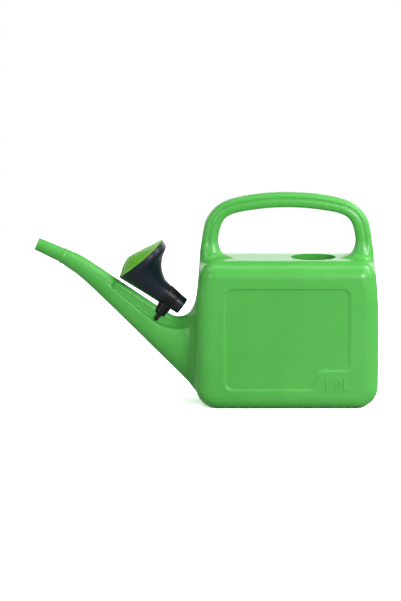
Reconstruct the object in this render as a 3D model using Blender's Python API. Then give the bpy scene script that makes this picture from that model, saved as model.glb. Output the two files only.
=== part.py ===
"""Ten-litre watering can: a blow-moulded tank with its handle and spout in one hollow shell,
and a spray rose with a sieve plate and a parking clip, which sits on the spout's top rail.

Sizes are in millimetres and become metres when a mesh is made. +X runs from the spout to the
tank's far end, +Z is up, and everything is symmetric about the plane y = 0. The origin is the
middle of the tank's flat base."""

import math

import bmesh
import bpy
import numpy as np
from mathutils import Vector

MM = 0.001
GAP = 0.3

# Tank
TANK_HALF_LENGTH = 156.0
TANK_END_TAPER = 6.2
TANK_HALF_DEPTH = 74.0
TANK_HEIGHT = 253.0
TANK_CORNER = 26.0
TANK_TOP_ROUND = 16.0
TANK_BASE_ROUND_X = 37.0
TANK_BASE_ROUND_Y = 22.0
TANK_TAPER_START = 150.0
WALL = 1.8
FILLER_RADIUS = 38.5
FILLER_FROM_END = 104.5

# Panel sunk into both long faces
PANEL_DEPTH = 2.5
PANEL_BEVEL = 3.5
PANEL_FROM_SPOUT_END = 48.2
PANEL_FROM_FAR_END = 49.2
PANEL_FROM_BASE = 33.3
PANEL_FROM_TOP = 44.0
PANEL_CORNER = 15.0
NOTCH_HEIGHT = 33.2
NOTCH_WIDTH_TOP = 50.3
NOTCH_WIDTH_BOTTOM = 63.8
NOTCH_CORNER = 5.0

# Handle: matching points on its outer and inner outline, with X from the middle of a tank of
# HANDLE_HALF_SPAN and Z from the tank's top, and its half width there
HANDLE_HALF_SPAN = 149.8
HANDLE_HALF_WIDTH = 15.0
HANDLE_GROOVE = 1.4
HANDLE_OUTER = [(145.5, -31.0), (149.3, -15.0), (149.9, -3.0), (149.4, 9.0), (147.5, 23.0),
                (145.4, 36.0), (143.2, 49.0), (139.6, 63.0), (133.0, 75.5), (122.5, 87.0),
                (108.5, 96.3), (90.0, 102.8), (61.0, 108.6), (31.0, 111.8), (0.0, 113.0)]
HANDLE_INNER = [(92.0, -13.0), (97.0, -5.0), (103.5, 2.5), (111.0, 10.5), (116.0, 20.5),
                (116.8, 31.0), (115.2, 43.0), (111.8, 56.0), (105.4, 66.5), (96.5, 72.6),
                (85.5, 76.0), (73.0, 78.8), (52.0, 82.0), (27.0, 84.6), (0.0, 85.5)]
HANDLE_FLARE = [10.0, 8.5, 6.0, 3.2, 1.2, 0.3]

# Spout and rose: X is measured from the tank's spout end, Z from its base
# Spout tip: a round, slightly tapered tube
TIP_CENTRE = (-272.6, 276.0)
TIP_ANGLE = 24.6
TIP_LENGTH = 48.0
TIP_RADIUS = 11.0
TIP_ROOT_RADIUS = 12.5
STEP_RADIUS = 13.6

# Spout: top line, bottom line and half width; the last stations flare into the tank
SPOUT_TOP = [(-212.5, 263.6), (-201.5, 259.0), (-190.0, 252.4), (-175.0, 242.8),
             (-157.4, 231.0), (-145.0, 222.6), (-132.0, 213.9), (-110.0, 199.0),
             (-84.0, 181.4), (-59.0, 164.5), (-42.0, 153.0), (-30.0, 150.8),
             (-20.3, 152.7), (-11.7, 157.8), (-3.5, 166.4), (0.4, 179.0),
             (4.0, 198.0), (18.0, 216.0), (32.0, 222.0)]
SPOUT_BOTTOM = [(-224.5, 235.8), (-215.5, 230.2), (-206.0, 224.0), (-193.5, 213.0),
                (-179.5, 199.9), (-170.0, 190.8), (-160.0, 181.0), (-142.0, 163.2),
                (-121.5, 142.8), (-101.5, 122.9), (-84.5, 106.2), (-66.0, 88.0),
                (-47.0, 69.2), (-31.0, 52.6), (-16.0, 36.4), (-5.0, 24.5),
                (4.0, 14.0), (18.0, 8.0), (32.0, 10.0)]
SPOUT_HALF_WIDTH = [14.0, 14.2, 14.4, 14.8, 15.2, 15.6, 16.0, 17.0, 18.4, 20.4, 23.0, 26.0,
                    29.5, 33.0, 37.0, 40.0, 43.0, 45.0, 45.0]
RAIL_BLEND = [0.0, 0.0, 0.0, 0.0, 0.0, 0.0, 1.0, 1.0, 1.0, 1.0, 1.0, 0.75,
              0.4, 0.15, 0.0, 0.0, 0.0, 0.0, 0.0]
RAIL_HALF_WIDTH = 6.8
RAIL_DEPTH = 25.0
RAIL_LINE = ((-157.4, 231.0), (-54.8, 161.7))

# Rose: matching points on its underside and upper side, and its half width there
ROSE_LOWER = [(-130.8, 219.0), (-127.5, 217.0), (-123.2, 214.2), (-113.0, 207.7),
              (-99.3, 199.2), (-85.6, 190.5), (-73.6, 182.9), (-64.2, 176.9),
              (-56.4, 172.0), (-44.4, 164.5), (-31.5, 156.3)]
ROSE_UPPER = [(-57.9, 280.8), (-52.7, 270.5), (-54.6, 264.2), (-58.2, 255.8),
              (-59.8, 244.9), (-60.0, 234.1), (-58.1, 224.8), (-54.1, 214.0),
              (-44.3, 202.9), (-30.6, 191.0), (-15.3, 178.0)]
ROSE_HALF_WIDTH = [47.75, 46.6, 43.2, 37.0, 30.4, 25.0, 21.2, 18.6, 16.2, 14.9, 13.5]
ROSE_WALL = 1.6

# Sieve plate in the rose's open face
SIEVE_RIM_MARGIN = 0.55
SIEVE_THICKNESS = 1.6
SIEVE_APEX = 15.9
SIEVE_APEX_OFFSET = -12.2
SIEVE_SKIRT_CLEARANCE = 1.5
SIEVE_SKIRT_THICKNESS = 1.6
SIEVE_SKIRT_DEPTH = 2.0
HOLE_RADIUS = 1.1
HOLE_RINGS = 4
HOLE_PITCH = 9.0

# Parking clip: a ring round the rose's neck and a slotted barrel over the spout's rail
CLIP_CENTRE = (-44.0, 182.7)
NECK_ANGLE = 37.0
RING_HALF_LENGTH = 11.0
RING_RADIUS_HEAD = 18.4
RING_RADIUS_END = 16.5
BARREL_RADIUS = 11.0
BARREL_GROOVE = 0.8
BARREL_OVER_RAIL = 8.15
BARREL_RIBS = 4
FINGER_HALF_WIDTH = 3.8
FINGER_THICKNESS = 3.4
FINGER_CLEARANCE = 1.05

# Sizes that follow from those above
TANK_TOP_HALF_LENGTH = TANK_HALF_LENGTH - TANK_END_TAPER
FILLER_X = TANK_TOP_HALF_LENGTH - FILLER_FROM_END
PANEL_LEFT = -TANK_HALF_LENGTH + PANEL_FROM_SPOUT_END
PANEL_RIGHT = TANK_HALF_LENGTH - PANEL_FROM_FAR_END
PANEL_BOTTOM = PANEL_FROM_BASE
PANEL_TOP = TANK_HEIGHT - PANEL_FROM_TOP
NOTCH_TOP = PANEL_BOTTOM + NOTCH_HEIGHT
NOTCH_X_TOP = PANEL_RIGHT - NOTCH_WIDTH_TOP
NOTCH_X_BOTTOM = PANEL_RIGHT - NOTCH_WIDTH_BOTTOM
ROSE_FACE_RADIUS = ROSE_HALF_WIDTH[0]
ROSE_SEAT_RADIUS = ROSE_FACE_RADIUS - ROSE_WALL
SIEVE_RADIUS = ROSE_FACE_RADIUS - SIEVE_RIM_MARGIN
SIEVE_SKIRT_RADIUS = ROSE_SEAT_RADIUS - SIEVE_SKIRT_CLEARANCE

MATERIALS = {
    "can_body": ((0.107, 0.420, 0.087, 1.0), 0.42, 0.0),
    "rose_body": ((0.012, 0.014, 0.018, 1.0), 0.30, 0.0),
    "rose_sieve": ((0.130, 0.500, 0.045, 1.0), 0.35, 0.0),
    "parking_clip": ((0.010, 0.010, 0.012, 1.0), 0.38, 0.0),
}


def clear_scene():
    """Remove every object of the startup scene."""
    for obj in list(bpy.data.objects):
        bpy.data.objects.remove(obj, do_unlink=True)


def loft(name, rings):
    """Closed solid through rings of equal point count, with a flat cap at each end."""
    bm = bmesh.new()
    rows = [[bm.verts.new(Vector(p) * MM) for p in ring] for ring in rings]
    count = len(rows[0])
    for near, far in zip(rows, rows[1:]):
        for i in range(count):
            j = (i + 1) % count
            bm.faces.new((near[i], near[j], far[j], far[i]))
    bm.faces.new(rows[0])
    bm.faces.new(rows[-1])
    bmesh.ops.recalc_face_normals(bm, faces=bm.faces)
    mesh = bpy.data.meshes.new(name)
    bm.to_mesh(mesh)
    bm.free()
    obj = bpy.data.objects.new(name, mesh)
    bpy.context.collection.objects.link(obj)
    return obj


def combine(name, base, steps):
    """Apply exact Booleans to base one after another; steps are (operation, object) pairs."""
    for operation, other in steps:
        modifier = base.modifiers.new(operation, "BOOLEAN")
        modifier.operation = operation
        modifier.solver = "EXACT"
        modifier.object = other
    graph = bpy.context.evaluated_depsgraph_get()
    graph.update()
    mesh = bpy.data.meshes.new_from_object(base.evaluated_get(graph))
    mesh.name = name
    for obj in [base] + [other for _, other in steps]:
        bpy.data.objects.remove(obj, do_unlink=True)
    bm = bmesh.new()
    bm.from_mesh(mesh)
    bmesh.ops.remove_doubles(bm, verts=bm.verts, dist=0.00002)
    bmesh.ops.dissolve_degenerate(bm, edges=bm.edges, dist=0.00001)
    bmesh.ops.triangulate(bm, faces=bm.faces)
    bm.to_mesh(mesh)
    bm.free()
    result = bpy.data.objects.new(name, mesh)
    bpy.context.collection.objects.link(result)
    return result


def finish(obj):
    """Give a finished piece its own name and material."""
    colour, roughness, metallic = MATERIALS[obj.name]
    material = bpy.data.materials.new(obj.name + "_material")
    material.use_nodes = True
    shader = material.node_tree.nodes["Principled BSDF"]
    shader.inputs["Base Color"].default_value = colour
    shader.inputs["Roughness"].default_value = roughness
    shader.inputs["Metallic"].default_value = metallic
    material.diffuse_color = colour
    obj.data.materials.clear()
    obj.data.materials.append(material)


def from_tank_end(points):
    """Points measured from the tank's spout end and base, as X and Z of the whole can.

    A flare stays below the rounding of the tank's top edge."""
    highest = TANK_HEIGHT - 31.0
    return [(x - TANK_HALF_LENGTH, min(z, highest) if x > 0.0 else z) for x, z in points]


def round_inset(depth, radius):
    """How far a quarter round of this radius stands back at a depth below its start."""
    if depth >= radius:
        return 0.0
    return radius - math.sqrt(radius * radius - (radius - depth) ** 2)


def rounded_rectangle(half_x, half_y, radius, z, segments=6):
    """Ring of points round a rectangle with rounded corners, at height z."""
    radius = min(radius, half_x - 0.5, half_y - 0.5)
    points = []
    for turn, (sx, sy) in enumerate([(1, -1), (1, 1), (-1, 1), (-1, -1)]):
        cx = sx * (half_x - radius)
        cy = sy * (half_y - radius)
        start = -90.0 + 90.0 * turn
        for k in range(segments + 1):
            angle = math.radians(start + 90.0 * k / segments)
            points.append((cx + radius * math.cos(angle), cy + radius * math.sin(angle), z))
    return points


def strip_ring(top, bottom, levels, widths):
    """Ring in the plane of the line top-bottom and the Y axis: half widths at each level."""
    top = np.array(top)
    bottom = np.array(bottom)
    spots = [top + (bottom - top) * level for level in levels]
    one = [(p[0], w, p[1]) for p, w in zip(spots, widths)]
    other = [(p[0], -w, p[1]) for p, w in zip(spots, widths)]
    return one + other[::-1]


def tank_rings(wall):
    """Tank sections from the base up; the lengthwise taper starts part way up."""
    base = [0.0, 1.5, 5.0, 10.0, 16.0, TANK_BASE_ROUND_Y, 29.0, TANK_BASE_ROUND_X]
    top = [TANK_HEIGHT - d for d in (16.0, 11.0, 6.5, 3.0, 0.8, 0.0)]
    rings = []
    for z in base + [90.0, TANK_TAPER_START, 195.0] + top:
        share = max(0.0, z - TANK_TAPER_START) / (TANK_HEIGHT - TANK_TAPER_START)
        half = TANK_HALF_LENGTH + (TANK_TOP_HALF_LENGTH - TANK_HALF_LENGTH) * share
        upper = round_inset(TANK_HEIGHT - z, TANK_TOP_ROUND)
        inset_x = round_inset(z, TANK_BASE_ROUND_X) + upper
        inset_y = round_inset(z, TANK_BASE_ROUND_Y) + upper
        height = wall + z * (TANK_HEIGHT - 2 * wall) / TANK_HEIGHT
        corner = TANK_CORNER - 0.5 * min(inset_x, 20.0)
        rings.append(rounded_rectangle(half - inset_x - wall, TANK_HALF_DEPTH - inset_y - wall,
                                       corner - wall, height))
    return rings


def handle_rings(wall):
    """Handle sections from the right leg over the grip to the left leg."""
    levels = [0.0, 0.04, 0.13, 0.24, 0.34, 0.40, 0.46, 0.62, 0.78, 0.90, 0.97, 1.0]
    power = 2.6
    rings = []
    for i, (outer, inner) in enumerate(zip(HANDLE_OUTER, HANDLE_INNER)):
        flare = HANDLE_FLARE[i] if i < len(HANDLE_FLARE) else 0.0
        half = HANDLE_HALF_WIDTH + flare
        stretch = (TANK_TOP_HALF_LENGTH - HANDLE_HALF_SPAN) * outer[0] / HANDLE_HALF_SPAN
        outer = np.array(outer) + [stretch, TANK_HEIGHT]
        inner = np.array(inner) + [stretch, TANK_HEIGHT]
        along = (inner - outer) / np.linalg.norm(inner - outer)
        start = outer + along * wall
        end = inner - along * wall
        widths = []
        for level in levels:
            curve = (1.0 - abs(2.0 * level - 1.0) ** power) ** (1.0 / power)
            width = max(half * curve, 0.33 * half)
            if level == 0.40:
                width -= HANDLE_GROOVE
            widths.append(width - wall)
        rings.append(strip_ring(start, end, levels, widths))
    mirrored = [[(-x, y, z) for x, y, z in ring] for ring in rings[:-1]]
    return rings + mirrored[::-1]


def tip_frame(distance):
    """Centre of the spout tip's axis at a distance from its open end, and the axis's normal."""
    angle = math.radians(TIP_ANGLE)
    centre = np.array(from_tank_end([TIP_CENTRE])[0])
    centre = centre + distance * np.array([math.cos(angle), -math.sin(angle)])
    return centre, np.array([math.sin(angle), math.cos(angle)])


def spout_levels(height, blend):
    """Depths below the spout's top line at which its half width is given."""
    count = 14
    even = [height * (1.0 - math.cos(math.pi * i / count)) / 2.0 for i in range(count + 1)]
    rail = [0.0, 0.7, 2.3, 4.6, 8.0, 14.0, 20.0, RAIL_DEPTH, RAIL_DEPTH + 3.0]
    rest = count + 1 - len(rail)
    for i in range(1, rest + 1):
        share = math.sin(0.5 * math.pi * i / rest)
        rail.append(RAIL_DEPTH + 3.0 + (height - RAIL_DEPTH - 3.0) * share)
    return [(1.0 - blend) * a + blend * b for a, b in zip(even, rail)]


def spout_width(depth, height, half, blend, power):
    """Half width of the spout: egg-shaped, with a narrow rail along its top where blend is 1."""
    share = min(max(depth / height, 0.0), 1.0) ** power
    egg = half * math.sqrt(max(0.0, 1.0 - (2.0 * share - 1.0) ** 2))
    rise = min(depth / RAIL_HALF_WIDTH, 1.0)
    rail = RAIL_HALF_WIDTH * math.sqrt(max(0.0, 1.0 - (1.0 - rise) ** 2))
    rail += 2.2 * max(0.0, depth - RAIL_DEPTH)
    return max((1.0 - blend) * egg + blend * min(rail, max(egg, 0.0)), 0.6)


def spout_rings(wall, reach):
    """Spout sections from its open tip to inside the tank; reach carries the tip further out."""
    rings = []
    tip = [(-reach, TIP_RADIUS)] if reach else []
    tip += [(0.0, TIP_RADIUS), (TIP_LENGTH, TIP_ROOT_RADIUS), (TIP_LENGTH + 1.0, STEP_RADIUS)]
    for distance, radius in tip:
        centre, normal = tip_frame(distance)
        inner = radius - wall
        levels = [d / (2.0 * radius) for d in spout_levels(2.0 * radius, 0.0)]
        widths = [max(inner * math.sqrt(max(0.0, 1.0 - (2.0 * s - 1.0) ** 2)), 0.5)
                  for s in levels]
        rings.append(strip_ring(centre + normal * inner, centre - normal * inner, levels, widths))
    for i, (top, bottom) in enumerate(zip(from_tank_end(SPOUT_TOP), from_tank_end(SPOUT_BOTTOM))):
        top = np.array(top)
        bottom = np.array(bottom)
        height = float(np.linalg.norm(bottom - top))
        power = 1.0 + 0.25 * min(1.0, i / 6.0)
        half = SPOUT_HALF_WIDTH[i]
        depths = spout_levels(height, RAIL_BLEND[i])
        widths = [spout_width(d, height, half, RAIL_BLEND[i], power) for d in depths]
        inner = [d + wall * (1.0 - 2.0 * (d / height) ** 4) for d in depths]
        widths = [max(w - wall, 0.5) for w in widths]
        rings.append(strip_ring(top, bottom, [d / height for d in inner], widths))
    return rings


def panel_outline(inset):
    """Outline of the sunk panel in X and Z, moved inwards by inset, with rounded corners."""
    corners = [(PANEL_LEFT, PANEL_BOTTOM, PANEL_CORNER), (NOTCH_X_BOTTOM, PANEL_BOTTOM, NOTCH_CORNER),
               (NOTCH_X_TOP, NOTCH_TOP, NOTCH_CORNER), (PANEL_RIGHT, NOTCH_TOP, PANEL_CORNER),
               (PANEL_RIGHT, PANEL_TOP, PANEL_CORNER), (PANEL_LEFT, PANEL_TOP, PANEL_CORNER)]
    spots = [np.array(c[:2]) for c in corners]
    count = len(spots)
    moved = []
    for i in range(count):
        before = spots[i] - spots[i - 1]
        after = spots[(i + 1) % count] - spots[i]
        n0 = np.array([-before[1], before[0]]) / np.linalg.norm(before)
        n1 = np.array([-after[1], after[0]]) / np.linalg.norm(after)
        moved.append(spots[i] + inset * (n0 + n1) / (1.0 + float(n0 @ n1)))
    outline = []
    for i in range(count):
        here = moved[i]
        d0 = moved[i - 1] - here
        d1 = moved[(i + 1) % count] - here
        d0 /= np.linalg.norm(d0)
        d1 /= np.linalg.norm(d1)
        turn = d0[0] * d1[1] - d0[1] * d1[0]
        radius = corners[i][2] - inset if turn < 0 else corners[i][2] + inset
        half_angle = 0.5 * math.acos(max(-1.0, min(1.0, float(d0 @ d1))))
        reach = radius / math.tan(half_angle)
        first = here + d0 * reach
        last = here + d1 * reach
        middle = (d0 + d1) / np.linalg.norm(d0 + d1)
        centre = here + middle * radius / math.sin(half_angle)
        a0 = math.atan2(*(first - centre)[::-1])
        a1 = math.atan2(*(last - centre)[::-1])
        sweep = (a1 - a0 + math.pi) % (2.0 * math.pi) - math.pi
        for k in range(6):
            angle = a0 + sweep * k / 5.0
            outline.append((centre[0] + radius * math.cos(angle),
                            centre[1] + radius * math.sin(angle)))
    return outline


def panel_cutter(name, side, wall):
    """Cutter for the panel on one long face; for the inside it is moved in by the wall."""
    face = TANK_HALF_DEPTH - wall
    floor = face - PANEL_DEPTH
    over = 8.0
    slope = PANEL_BEVEL / PANEL_DEPTH
    wide = panel_outline(-wall - slope * over)
    narrow = panel_outline(PANEL_BEVEL - wall)
    rings = [[(x, side * y, z) for x, z in outline]
             for y, outline in ((floor, narrow), (face + over, wide))]
    return loft(name, rings)


def can_body():
    """Tank, handle and spout as one shell with the filler hole and the open spout tip."""
    outer = combine("outer", loft("tank", tank_rings(0.0)), [
        ("DIFFERENCE", panel_cutter("panel_front", -1.0, 0.0)),
        ("DIFFERENCE", panel_cutter("panel_back", 1.0, 0.0)),
        ("UNION", loft("handle", handle_rings(0.0))),
        ("UNION", loft("spout", spout_rings(0.0, 0.0))),
    ])
    hollow = combine("hollow", loft("tank_hollow", tank_rings(WALL)), [
        ("DIFFERENCE", panel_cutter("panel_front", -1.0, WALL)),
        ("DIFFERENCE", panel_cutter("panel_back", 1.0, WALL)),
        ("UNION", loft("handle_hollow", handle_rings(WALL))),
        ("UNION", loft("spout_hollow", spout_rings(WALL, 5.0))),
    ])
    filler_rings = []
    for z in (TANK_HEIGHT - 12.0, TANK_HEIGHT + 12.0):
        filler_rings.append([(FILLER_X + FILLER_RADIUS * math.cos(a),
                              FILLER_RADIUS * math.sin(a), z)
                             for a in np.linspace(0.0, 2.0 * math.pi, 48, endpoint=False)])
    return combine("can_body", outer, [("DIFFERENCE", hollow),
                                       ("DIFFERENCE", loft("filler", filler_rings))])


def rose_ring(lower, upper, half, count=40):
    """Ellipse between a lower and an upper point, with a half width along Y."""
    lower = np.array(lower)
    upper = np.array(upper)
    middle = (lower + upper) / 2.0
    arm = (upper - lower) / 2.0
    ring = []
    for i in range(count):
        angle = 2.0 * math.pi * i / count
        spot = middle + arm * math.cos(angle)
        ring.append((spot[0], half * math.sin(angle), spot[1]))
    return ring


def rose_rings(change, reach):
    """Rose sections from the open face to the socket's end, each grown by change."""
    rings = []
    count = len(ROSE_LOWER)
    lowers = [np.array(p) for p in from_tank_end(ROSE_LOWER)]
    uppers = [np.array(p) for p in from_tank_end(ROSE_UPPER)]
    for i, (lower, upper) in enumerate(zip(lowers, uppers)):
        along = (upper - lower) / np.linalg.norm(upper - lower)
        stretch = change * (1.25 if i < count - 2 else 1.0)
        rings.append((lower - along * stretch, upper + along * stretch,
                      ROSE_HALF_WIDTH[i] + change))
    if reach:
        middle, normal, along = face_frame()
        half = ROSE_FACE_RADIUS + change
        seat = along * half
        out = normal * reach
        rings[0] = (middle - seat, middle + seat, half)
        rings.insert(0, (middle - seat + out, middle + seat + out, half))
        angle = math.radians(NECK_ANGLE)
        end = np.array([math.cos(angle), -math.sin(angle)]) * reach
        lower, upper, half = rings[-1]
        rings.append((lower + end, upper + end, half))
    return [rose_ring(*ring) for ring in rings]


def rose_body():
    """Black flared head with its socket neck, open at both ends."""
    return combine("rose_body", loft("rose_outer", rose_rings(0.0, 0.0)),
                   [("DIFFERENCE", loft("rose_hollow", rose_rings(-ROSE_WALL, 5.0)))])


def face_frame():
    """Centre, outward normal and in-plane direction of the rose's open face."""
    lower = np.array(from_tank_end(ROSE_LOWER)[0])
    upper = np.array(from_tank_end(ROSE_UPPER)[0])
    along = (upper - lower) / np.linalg.norm(upper - lower)
    return (lower + upper) / 2.0, np.array([-along[1], along[0]]), along


def face_point(x, y, z):
    """World point from coordinates on the rose's face: along it, across it and out of it."""
    centre, normal, along = face_frame()
    spot = centre + along * x + normal * z
    return (spot[0], y, spot[1])


def rose_sieve():
    """Domed plate with a flange on the rose's rim, a skirt inside it and a field of holes."""
    count = 48
    top = GAP + SIEVE_THICKNESS
    rise = SIEVE_APEX - top
    base = SIEVE_SKIRT_RADIUS - 1.0
    rings = []

    def dome(share, level):
        ring = []
        for i in range(count):
            angle = 2.0 * math.pi * i / count
            power = 1.05 + 0.45 * (1.0 - math.cos(angle))
            height = level + rise * (1.0 - share ** power)
            ring.append(face_point(SIEVE_APEX_OFFSET * (1.0 - share) + share * base * math.cos(angle),
                                   share * base * math.sin(angle), height))
        return ring

    def circle(radius, height):
        return [face_point(radius * math.cos(2.0 * math.pi * i / count),
                           radius * math.sin(2.0 * math.pi * i / count), height)
                for i in range(count)]

    shares = [0.04, 0.15, 0.32, 0.50, 0.68, 0.84, 1.0]
    rings += [dome(s, top) for s in shares]
    rings += [circle(SIEVE_RADIUS, top), circle(SIEVE_RADIUS, GAP), circle(SIEVE_SKIRT_RADIUS, GAP),
              circle(SIEVE_SKIRT_RADIUS, -SIEVE_SKIRT_DEPTH),
              circle(SIEVE_SKIRT_RADIUS - SIEVE_SKIRT_THICKNESS, -SIEVE_SKIRT_DEPTH)]
    rings += [dome(s * 0.965, top - SIEVE_THICKNESS) for s in shares[::-1]]
    plate = loft("plate", rings)
    holes = []
    for k in range(HOLE_RINGS + 1):
        number = max(1, 6 * k)
        for i in range(number):
            angle = 2.0 * math.pi * (i + 0.5 * (k % 2)) / number
            x = SIEVE_APEX_OFFSET * (1.0 - k / 4.8) + k * HOLE_PITCH * math.cos(angle)
            y = k * HOLE_PITCH * math.sin(angle)
            rim = [(x + HOLE_RADIUS * math.cos(math.pi * j / 3.0),
                    y + HOLE_RADIUS * math.sin(math.pi * j / 3.0)) for j in range(6)]
            holes.append([[face_point(u, v, z) for u, v in rim] for z in (-4.0, 22.0)])
    drills = [loft("hole", rings) for rings in holes]
    bpy.ops.object.select_all(action="DESELECT")
    for drill in drills:
        drill.select_set(True)
    bpy.context.view_layer.objects.active = drills[0]
    bpy.ops.object.join()
    return combine("rose_sieve", plate, [("DIFFERENCE", drills[0])])


def rail_frame():
    """Centre of the clip, the rail's direction and the direction down to it, in X and Z."""
    ends = [np.array(p) for p in from_tank_end(RAIL_LINE)]
    rail = (ends[1] - ends[0]) / np.linalg.norm(ends[1] - ends[0])
    return np.array(from_tank_end([CLIP_CENTRE])[0]), rail, np.array([rail[1], -rail[0]]), ends[1]


def clip_point(along, across, down):
    """World point from the clip's frame: along the rail, across it and down towards it."""
    centre, rail, below, _ = rail_frame()
    spot = centre + rail * along + below * down
    return (spot[0], across, spot[1])


def rail_drop():
    """Distance from the clip's centre down to the spout's rail."""
    centre, _, below, end = rail_frame()
    return float((end - centre) @ below)


def clip_circle(radius, down, count=32):
    """Circle round the barrel's axis at a distance down it."""
    return [clip_point(radius * math.cos(a), radius * math.sin(a), down)
            for a in np.linspace(0.0, 2.0 * math.pi, count, endpoint=False)]


def clip_box(name, along, across, down):
    """Straight-sided block in the clip's frame, from three (low, high) ranges."""
    rings = [[clip_point(along[0], across[0], d), clip_point(along[1], across[0], d),
              clip_point(along[1], across[1], d), clip_point(along[0], across[1], d)]
             for d in down]
    return loft(name, rings)


def parking_clip():
    """Ring round the rose's neck, ribbed barrel slotted over the rail, and two fingers."""
    angle = math.radians(NECK_ANGLE)
    axis = np.array([math.cos(angle), -math.sin(angle)])
    normal = np.array([math.sin(angle), math.cos(angle)])
    rings = []
    for step, radius in ((-RING_HALF_LENGTH, RING_RADIUS_HEAD), (RING_HALF_LENGTH, RING_RADIUS_END)):
        centre = np.array(from_tank_end([CLIP_CENTRE])[0]) + axis * step
        rings.append(rose_ring(centre - normal * radius, centre + normal * radius, radius))
    ring = loft("ring", rings)

    slot_top = rail_drop() - GAP
    barrel_end = rail_drop() + BARREL_OVER_RAIL
    finger_end = rail_drop() + RAIL_DEPTH - FINGER_CLEARANCE
    start = 12.0
    ribs_from = 18.0
    pitch = (barrel_end - 1.6 - ribs_from) / BARREL_RIBS
    barrel = [clip_circle(BARREL_RADIUS, start), clip_circle(BARREL_RADIUS, ribs_from)]
    for k in range(BARREL_RIBS):
        at = ribs_from + k * pitch
        for share, radius in ((0.12, BARREL_RADIUS - BARREL_GROOVE),
                              (0.38, BARREL_RADIUS - BARREL_GROOVE),
                              (0.50, BARREL_RADIUS), (1.0, BARREL_RADIUS)):
            barrel.append(clip_circle(radius, at + share * pitch))
    barrel.append(clip_circle(BARREL_RADIUS - 1.4, barrel_end))
    half_slot = RAIL_HALF_WIDTH + GAP
    outside = half_slot + FINGER_THICKNESS
    fingers = clip_box("fingers", (-FINGER_HALF_WIDTH, FINGER_HALF_WIDTH), (-outside, outside),
                       (slot_top - 2.0, finger_end))
    slot = clip_box("slot", (-40.0, 40.0), (-half_slot, half_slot), (slot_top, finger_end + 5.0))
    neck = loft("neck", rose_rings(GAP, 5.0))
    return combine("parking_clip", loft("barrel", barrel), [
        ("UNION", ring), ("UNION", fingers), ("DIFFERENCE", slot), ("DIFFERENCE", neck)])


clear_scene()
for piece in (can_body(), rose_body(), rose_sieve(), parking_clip()):
    finish(piece)
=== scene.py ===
import math

import bmesh
import bpy
import numpy as np
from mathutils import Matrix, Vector


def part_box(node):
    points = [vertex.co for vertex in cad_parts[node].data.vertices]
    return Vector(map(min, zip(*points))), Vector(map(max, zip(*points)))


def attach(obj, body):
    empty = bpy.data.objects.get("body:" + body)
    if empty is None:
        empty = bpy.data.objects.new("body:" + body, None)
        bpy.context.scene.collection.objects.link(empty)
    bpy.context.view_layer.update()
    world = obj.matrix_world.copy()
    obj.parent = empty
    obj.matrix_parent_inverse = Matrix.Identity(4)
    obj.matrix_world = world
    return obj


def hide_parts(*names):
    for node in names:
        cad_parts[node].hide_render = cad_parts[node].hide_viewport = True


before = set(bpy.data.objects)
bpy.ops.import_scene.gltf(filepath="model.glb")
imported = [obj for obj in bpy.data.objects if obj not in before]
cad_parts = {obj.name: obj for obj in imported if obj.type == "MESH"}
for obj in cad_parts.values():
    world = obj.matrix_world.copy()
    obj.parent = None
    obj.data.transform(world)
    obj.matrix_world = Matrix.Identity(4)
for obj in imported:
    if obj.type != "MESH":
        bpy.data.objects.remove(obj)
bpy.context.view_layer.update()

# ---------------------------------------------------------------------------
# can_body: tank, handle and spout are one hollow shell of green polyethylene,
# blown in a two-part mould that closes on the plane y = 0. Its outline lies in
# that plane, and the shell is as deep in Y as the mould's two cavities.

MM = 0.001
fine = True
tank_top = 253.0
tank_half_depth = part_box("can_body")[1][1] / MM
wall = 1.8


def between_points(a, b, c, d, t):
    """Catmull-Rom curve at the share t of the way from b to c:
    (2b + (c - a)t + (2a - 5b + 4c - d)t^2 + (3b - a - 3c + d)t^3) / 2."""
    return 0.5 * (2 * b + (c - a) * t + (2 * a - 5 * b + 4 * c - d) * t ** 2
                  + (3 * b - a - 3 * c + d) * t ** 3)


def with_ends(points):
    """The points with one more at each end, a straight step past the first and the last."""
    p = np.asarray(points, float)
    return np.vstack([2 * p[0] - p[1], p, 2 * p[-1] - p[-2]])


def spline(points, spacing=1.5):
    """Catmull-Rom curve through the points, resampled so that its points lie about spacing
    apart."""
    p = with_ends(points)
    t = np.linspace(0.0, 1.0, 12, endpoint=False)[None, :, None]
    a, b, c, d = (p[i:len(p) - 3 + i][:, None, :] for i in range(4))
    curve = np.vstack([between_points(a, b, c, d, t).reshape(-1, 2), p[-2]])
    run = np.concatenate([[0.0], np.cumsum(np.linalg.norm(np.diff(curve, axis=0), axis=1))])
    even = np.linspace(0.0, run[-1], max(2, int(run[-1] / spacing)))
    return np.column_stack([np.interp(even, run, curve[:, k]) for k in (0, 1)])


def arc(cx, cz, radius, start, end, count=14):
    """Points on a circle from one angle to another, in degrees from +X towards +Z."""
    a = np.radians(np.linspace(start, end, count))
    return np.column_stack([cx + radius * np.cos(a), cz + radius * np.sin(a)])


def nearest(x, z, line):
    """Distance from each point to a polyline, the side it lies on, and the nearest point's X:
    the foot on a segment is its start plus the segment times the clamped projection."""
    shape = np.shape(x)
    x, z = np.ravel(x), np.ravel(z)
    best = np.full(x.shape, 1e9)
    side = np.zeros(x.shape)
    foot = np.zeros(x.shape)
    start, step = line[:-1], np.diff(line, axis=0)
    for (sx, sz), (dx, dz) in zip(start, step):
        rx, rz = x - sx, z - sz
        t = np.clip((rx * dx + rz * dz) / (dx * dx + dz * dz), 0.0, 1.0)
        gap = (rx - t * dx) ** 2 + (rz - t * dz) ** 2
        closer = gap < best
        best = np.where(closer, gap, best)
        side = np.where(closer, dx * rz - dz * rx, side)
        foot = np.where(closer, sx + t * dx, foot)
    return np.sqrt(best).reshape(shape), np.sign(side).reshape(shape), foot.reshape(shape)


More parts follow.
